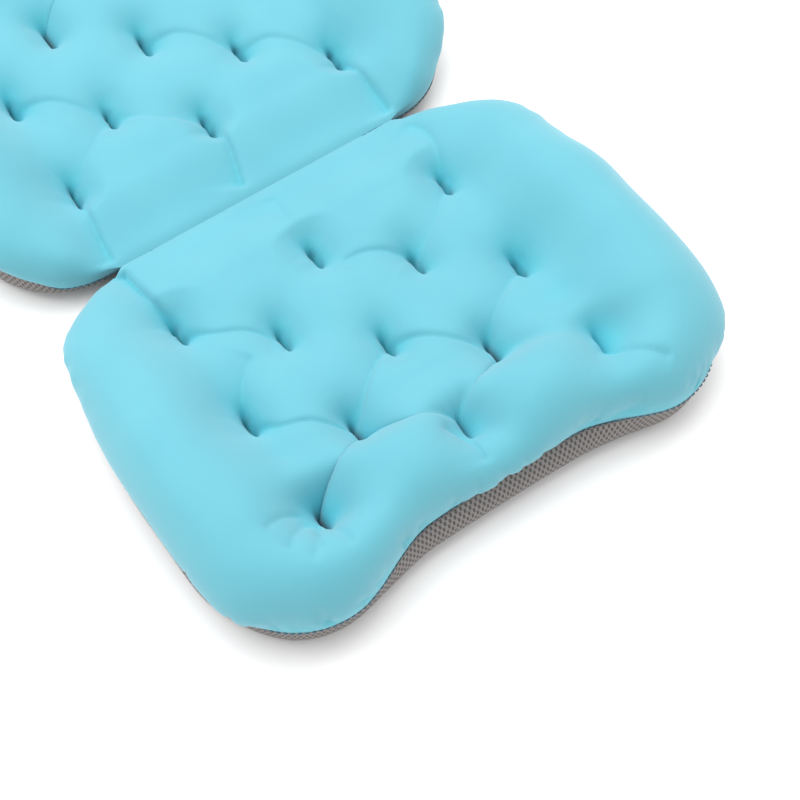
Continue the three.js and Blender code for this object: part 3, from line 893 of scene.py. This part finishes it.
def new_material(name):
    material = bpy.data.materials.new(name)
    material.use_nodes = True
    nodes, links = material.node_tree.nodes, material.node_tree.links
    return material, nodes, links, nodes["Principled BSDF"]


def put(made, values):
    for name, value in values.items():
        made.inputs[name].default_value = value


def node(nodes, kind, values=None, **settings):
    made = nodes.new(kind)
    for key, value in settings.items():
        setattr(made, key, value)
    put(made, values or {})
    return made


def ramp(nodes, links, source, stops):
    """Colours that follow the source's factor."""
    made = nodes.new("ShaderNodeValToRGB")
    elements = made.color_ramp.elements
    while len(elements) < len(stops):
        elements.new(0.5)
    for element, (at, colour) in zip(elements, stops):
        element.position = at
        element.color = (*colour, 1)
    links.new(source.outputs["Fac"], made.inputs["Fac"])
    return made.outputs["Color"]


def on_object(nodes, links, texture):
    place = node(nodes, "ShaderNodeTexCoord")
    links.new(place.outputs["Object"], texture.inputs["Vector"])


def emboss(nodes, links, shader, height, strength, distance, invert=False):
    bump = node(nodes, "ShaderNodeBump", {"Strength": strength, "Distance": distance}, invert=invert)
    links.new(height, bump.inputs["Height"])
    links.new(bump.outputs["Normal"], shader.inputs["Normal"])


def knit_material(name, light, dark, bounce_blue, thread):
    """Fine stretch knit: faint ribs, slow colour drift, painted bounce light in the hollows, painted
    shade in the slits, soft sheen.
    """
    material, nodes, links, shader = new_material(name)
    cloth = node(nodes, "ShaderNodeAttribute", attribute_name="cloth")
    drift = node(nodes, "ShaderNodeTexNoise", {"Scale": 22, "Detail": 3})
    links.new(cloth.outputs["Vector"], drift.inputs["Vector"])
    tint = ramp(nodes, links, drift, [(0.30, dark), (0.72, light)])
    # Painted bounce light lightens the hollows, and painted shade darkens the slits
    for share, shade in (("painted_bounce", (*bounce_blue, 1)), ("slit_shade", SLIT_SHADE_BLUE)):
        amount = node(nodes, "ShaderNodeAttribute", attribute_name=share)
        mix = node(nodes, "ShaderNodeMix", {"B": shade}, data_type="RGBA")
        links.new(amount.outputs["Fac"], mix.inputs["Factor"])
        links.new(tint, mix.inputs["A"])
        tint = mix.outputs["Result"]
    links.new(tint, shader.inputs["Base Color"])
    rib = node(nodes, "ShaderNodeTexWave", {"Scale": 0.314 / thread, "Distortion": 0.6, "Detail": 1},
               wave_type="BANDS", bands_direction="X")
    course = node(nodes, "ShaderNodeTexWave", {"Scale": 0.314 / (1.4 * thread)},
                  wave_type="BANDS", bands_direction="Y")
    weave = node(nodes, "ShaderNodeMath", operation="MULTIPLY")
    for k, wave in enumerate((rib, course)):
        links.new(cloth.outputs["Vector"], wave.inputs["Vector"])
        links.new(wave.outputs["Fac"], weave.inputs[k])
    emboss(nodes, links, shader, weave.outputs["Value"], 0.12, 0.0003)
    rough = node(nodes, "ShaderNodeMapRange", {"To Min": 0.62, "To Max": 0.74})
    links.new(drift.outputs["Fac"], rough.inputs["Value"])
    links.new(rough.outputs["Result"], shader.inputs["Roughness"])
    put(shader, {"Specular IOR Level": 0.4, "Sheen Weight": 0.28, "Sheen Roughness": 0.6,
                 "Sheen Tint": (0.86, 0.88, 0.95, 1)})
    return material


def mesh_material():
    """Open air mesh: staggered long holes in a warm grey knit."""
    material, nodes, links, shader = new_material("grey_air_mesh")
    cloth = node(nodes, "ShaderNodeAttribute", attribute_name="cloth")
    parts = node(nodes, "ShaderNodeSeparateXYZ")
    links.new(cloth.outputs["Vector"], parts.inputs["Vector"])
    both = node(nodes, "ShaderNodeMath", operation="MULTIPLY")
    for k, (axis, pitch) in enumerate(MESH_HOLE_PITCH):
        scaled = node(nodes, "ShaderNodeMath", operation="MULTIPLY")
        scaled.inputs[1].default_value = 2 * math.pi / pitch
        links.new(parts.outputs[axis], scaled.inputs[0])
        wave = node(nodes, "ShaderNodeMath", operation="COSINE")
        links.new(scaled.outputs["Value"], wave.inputs[0])
        links.new(wave.outputs["Value"], both.inputs[k])
    hole = node(nodes, "ShaderNodeMapRange", {"From Min": -0.05, "From Max": 0.45},
                interpolation_type="SMOOTHSTEP")
    links.new(both.outputs["Value"], hole.inputs["Value"])
    drift = node(nodes, "ShaderNodeTexNoise", {"Scale": 900})
    links.new(cloth.outputs["Vector"], drift.inputs["Vector"])
    yarn = ramp(nodes, links, drift, [(0.3, (0.205, 0.188, 0.180)), (0.7, (0.265, 0.245, 0.236))])
    mix = node(nodes, "ShaderNodeMix", {"B": (0.095, 0.084, 0.081, 1)}, data_type="RGBA")
    links.new(hole.outputs["Result"], mix.inputs["Factor"])
    links.new(yarn, mix.inputs["A"])
    links.new(mix.outputs["Result"], shader.inputs["Base Color"])
    emboss(nodes, links, shader, hole.outputs["Result"], 0.7, 0.0012, invert=True)
    put(shader, {"Roughness": 0.82, "Specular IOR Level": 0.2, "Sheen Weight": 0.12})
    return material


def thread_material(name, light, dark):
    """Twisted sewing thread."""
    material, nodes, links, shader = new_material(name)
    twist = node(nodes, "ShaderNodeTexWave", {"Scale": 700, "Distortion": 1.5},
                 wave_type="BANDS", bands_direction="DIAGONAL")
    on_object(nodes, links, twist)
    colour = ramp(nodes, links, twist, [(0.2, dark), (0.8, light)])
    links.new(colour, shader.inputs["Base Color"])
    emboss(nodes, links, shader, twist.outputs["Fac"], 0.4, 0.0002)
    put(shader, {"Roughness": 0.55, "Sheen Weight": 0.2})
    return material


def fibre_material():
    """Loose white stuffing."""
    material, nodes, links, shader = new_material("white_fibre")
    tangle = node(nodes, "ShaderNodeTexNoise", {"Scale": 160, "Detail": 6, "Distortion": 2})
    on_object(nodes, links, tangle)
    colour = ramp(nodes, links, tangle, [(0.3, (0.72, 0.72, 0.70)), (0.7, (0.90, 0.90, 0.88))])
    links.new(colour, shader.inputs["Base Color"])
    emboss(nodes, links, shader, tangle.outputs["Fac"], 0.6, 0.002)
    put(shader, {"Roughness": 0.95})
    return material


def floor_material():
    material, nodes, links, shader = new_material("pale_floor")
    drift = node(nodes, "ShaderNodeTexNoise", {"Scale": 4})
    on_object(nodes, links, drift)
    colour = ramp(nodes, links, drift, [(0.2, (0.88, 0.88, 0.88)), (0.8, (0.92, 0.92, 0.92))])
    links.new(colour, shader.inputs["Base Color"])
    put(shader, {"Roughness": 0.9})
    return material


def capsule(start, end, up, radius, sides=6):
    """A short stitch: a bowed thread from start to end, closed at both ends."""
    start, end = np.array(start, float), np.array(end, float)
    axis = (end - start) / np.linalg.norm(end - start)
    up = up - axis * (up @ axis)
    up /= np.linalg.norm(up)
    side = np.cross(axis, up)
    verts, faces = [], []
    for at, wide in THREAD_PROFILE:
        centre = start + (end - start) * at + up * radius * THREAD_BOW * math.sin(math.pi * at)
        for k in range(sides):
            a = 2 * math.pi * k / sides
            verts.append(centre + (side * math.cos(a) + up * math.sin(a)) * radius * wide)
    last = len(THREAD_PROFILE) - 1
    for s in range(last):
        for k in range(sides):
            n = (k + 1) % sides
            faces.append((s * sides + k, s * sides + n, (s + 1) * sides + n, (s + 1) * sides + k))
    faces.append(tuple(range(sides))[::-1])
    faces.append(tuple(last * sides + k for k in range(sides)))
    return verts, faces


def gather(parts):
    verts, faces = [], []
    for more, polys in parts:
        faces += [tuple(i + len(verts) for i in f) for f in polys]
        verts += [tuple(v) for v in more]
    return verts, faces


def seam_stitches(rim, ups):
    """Dashes of thread along the sewn edge."""
    closed, closed_up = np.vstack([rim, rim[:1]]), np.vstack([ups, ups[:1]])
    run = run_along(closed)
    count = int(run[-1] / STITCH_PITCH)
    pitch = run[-1] / count
    parts = []
    for k in range(count):
        at = [k * pitch, k * pitch + STITCH_SHARE * pitch]
        ends = np.stack([np.interp(at, run, closed[:, c]) for c in range(3)], 1)
        up = np.array([np.interp(at[0], run, closed_up[:, c]) for c in range(3)])
        parts.append(capsule(ends[0] + up * STITCH_LIFT, ends[1] + up * STITCH_LIFT, up, STITCH_RADIUS))
    return gather(parts)


def bar_tack(x, y):
    """Satin-stitched bar along Y with its shank going down into the stuffing."""
    parts = []
    for k in range(TACK_STITCHES):
        at = y - TACK_LENGTH / 2 + TACK_LENGTH * k / (TACK_STITCHES - 1)
        z = TUFT_Z - TACK_SLANT
        parts.append(capsule((x - TACK_HALF, at, z), (x + TACK_HALF, at + TACK_SLANT, z),
                             np.array([0, 0, 1.0]), TACK_RADIUS))
    for k in range(SHANK_STRANDS):
        at = y - SHANK_STEP + SHANK_STEP * k
        parts.append(capsule((x, at, TUFT_Z - SHANK_DEPTH), (x, at, TUFT_Z), np.array([1.0, 0, 0]),
                             SHANK_RADIUS))
    return gather(parts)


def fold_roll():
    """The rolled edge that joins the pads, tapered at both ends."""
    verts, faces = [], []
    stations, sides = ROLL_STATIONS, ROLL_SIDES
    for s in range(stations + 1):
        x = -FOLD_HALF + 2 * FOLD_HALF * s / stations
        taper = math.sqrt(max(0.02, 1 - abs(x / FOLD_HALF) ** ROLL_END_POWER))
        for k in range(sides):
            a = 2 * math.pi * k / sides
            tall = ROLL_UP if k < sides / 2 else ROLL_DOWN
            verts.append((x, ROLL_HALF * taper * math.cos(a), FOLD_Z + tall * taper * math.sin(a)))
    for s in range(stations):
        for k in range(sides):
            n = (k + 1) % sides
            faces.append((s * sides + k, (s + 1) * sides + k, (s + 1) * sides + n, s * sides + n))
    faces.append(tuple(range(sides)))
    faces.append(tuple(stations * sides + k for k in range(sides))[::-1])
    return verts, faces


def studio():
    """White room, floor, two soft lamps and the camera."""
    corners = [(-3, -3, 0), (3, -3, 0), (3, 3, 0), (-3, 3, 0)]
    floor = add_mesh("floor", corners, [(0, 1, 2, 3)], floor_material())
    floor.location.z = -0.0004
    world = bpy.data.worlds.new("studio")
    bpy.context.scene.world = world
    world.use_nodes = True
    put(world.node_tree.nodes["Background"], {"Color": (1, 1, 1, 1), "Strength": 1.0})
    for name, place, size, power in LAMPS:
        light = bpy.data.lights.new(name, "AREA")
        light.energy = power
        light.size = size
        lamp = bpy.data.objects.new(name, light)
        lamp.location = place
        lamp.rotation_euler = (Vector(LAMP_AIM) - Vector(place)).to_track_quat("-Z", "Y").to_euler()
        bpy.context.scene.collection.objects.link(lamp)
    lens = bpy.data.cameras.new("camera")
    lens.lens = CAMERA_LENS
    lens.sensor_width = CAMERA_SENSOR
    camera = bpy.data.objects.new("camera", lens)
    azimuth, elevation = math.radians(CAMERA_AZIMUTH), math.radians(CAMERA_ELEVATION)
    back = Vector((math.sin(azimuth) * math.cos(elevation), -math.cos(azimuth) * math.cos(elevation),
                   math.sin(elevation)))
    camera.location = Vector(CAMERA_AIM) + back * CAMERA_DISTANCE
    camera.rotation_euler = back.to_track_quat("Z", "Y").to_euler()
    bpy.context.scene.collection.objects.link(camera)
    bpy.context.scene.camera = camera
    bpy.context.scene.view_settings.view_transform = "Standard"


# The bounce blue is painted light: a lighter, richer blue laid into the hollows
blue = knit_material("blue_knit", light=(0.092, 0.360, 0.432), dark=(0.079, 0.338, 0.412),
                     bounce_blue=(0.028, 0.505, 0.610), thread=0.0007)
grey = mesh_material()
fibre = fibre_material()
seam_thread = thread_material("teal_thread", light=(0.060, 0.150, 0.200), dark=(0.030, 0.080, 0.120))
tack_thread = thread_material("blue_thread", light=(0.150, 0.420, 0.500), dark=(0.080, 0.280, 0.360))

# Each pad: its turn, the seed of its small irregularities, how much fuller its shoulders are, how far
# its scoop is off centre, how its lip laps the fold, how much further its drawn field reaches, the
# tufts that its lobes close over, and its folds
for body, sign, seed, fuller, scoop_shift, overlap, reach, hidden, creases in (
        ("lower_pad", HALF_TURN, 3, 0.0, -0.0035, 0.001, 0.0, LOWER_HIDDEN, LOWER_CREASES),
        ("upper_pad", np.ones(3), 5, 0.014, 0.0, -0.001, 0.030, UPPER_HIDDEN, UPPER_CREASES)):
    pad = body.split("_")[0]
    points, tris, flat, rim_count = stuff_pad(seed, fuller, scoop_shift, hidden)
    fine, fine_tris, fine_flat = refine(points, tris, flat, rim_count)
    fine = calm_field(fine, fine_tris, rim_count, overlap, reach)
    fine = press_creases(fine, creases)
    fine = pucker_seam(fine, fine_tris, fine_flat, rim_count, seed)
    points = fine[:len(points)]
    rim = points[:rim_count]

    cover = add_mesh(f"{pad}_cover", fine * sign, fine_tris, blue)
    set_pattern(cover, fine_flat)
    # Masks for the painted bounce light in the hollows and the painted shade in the slits
    set_share(cover, "painted_bounce", painted_bounce_share(fine, fine_tris))
    set_share(cover, "slit_shade", slit_shade_share(fine, hidden))
    thicken(cover, COVER_THICKNESS)
    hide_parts(f"{pad}_top_cover")

    verts, faces, pattern, around = base_form(points, rim_count, scoop_shift)
    base = add_mesh(f"{pad}_base", verts * sign, faces, grey)
    set_base_pattern(base, verts, pattern, around, rim)
    thicken(base, BASE_THICKNESS)
    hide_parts(f"{pad}_base_mesh")

    verts, faces = filling_form(points, tris, flat, rim_count)
    filling = add_mesh(f"{pad}_filling", verts * sign, faces, fibre)
    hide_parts(f"{pad}_fill")

    ups = np.column_stack([outward(rim[:, :2]), np.full(rim_count, STITCH_TILT)])
    ups /= lengths(ups)
    verts, faces = seam_stitches(rim, ups)
    stitches = add_mesh(f"{pad}_seam_stitches", np.array(verts) * sign, faces, seam_thread)
    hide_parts(f"{pad}_edge_seam")

    for piece in (cover, base, filling, stitches):
        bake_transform(piece)
    for n, (x, y) in enumerate(tuft_places(), 1):
        verts, faces = bar_tack(x, y)
        tack = add_mesh(f"{pad}_bar_tack_{n}", np.array(verts) * sign, faces, tack_thread)
        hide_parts(f"{pad}_tack_{n}")
        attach(tack, body)

verts, faces = fold_roll()
roll = add_mesh("fold_roll", verts, faces, blue)
set_pattern(roll, np.array(verts)[:, :2])
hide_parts("fold_seam")
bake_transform(roll)

studio()
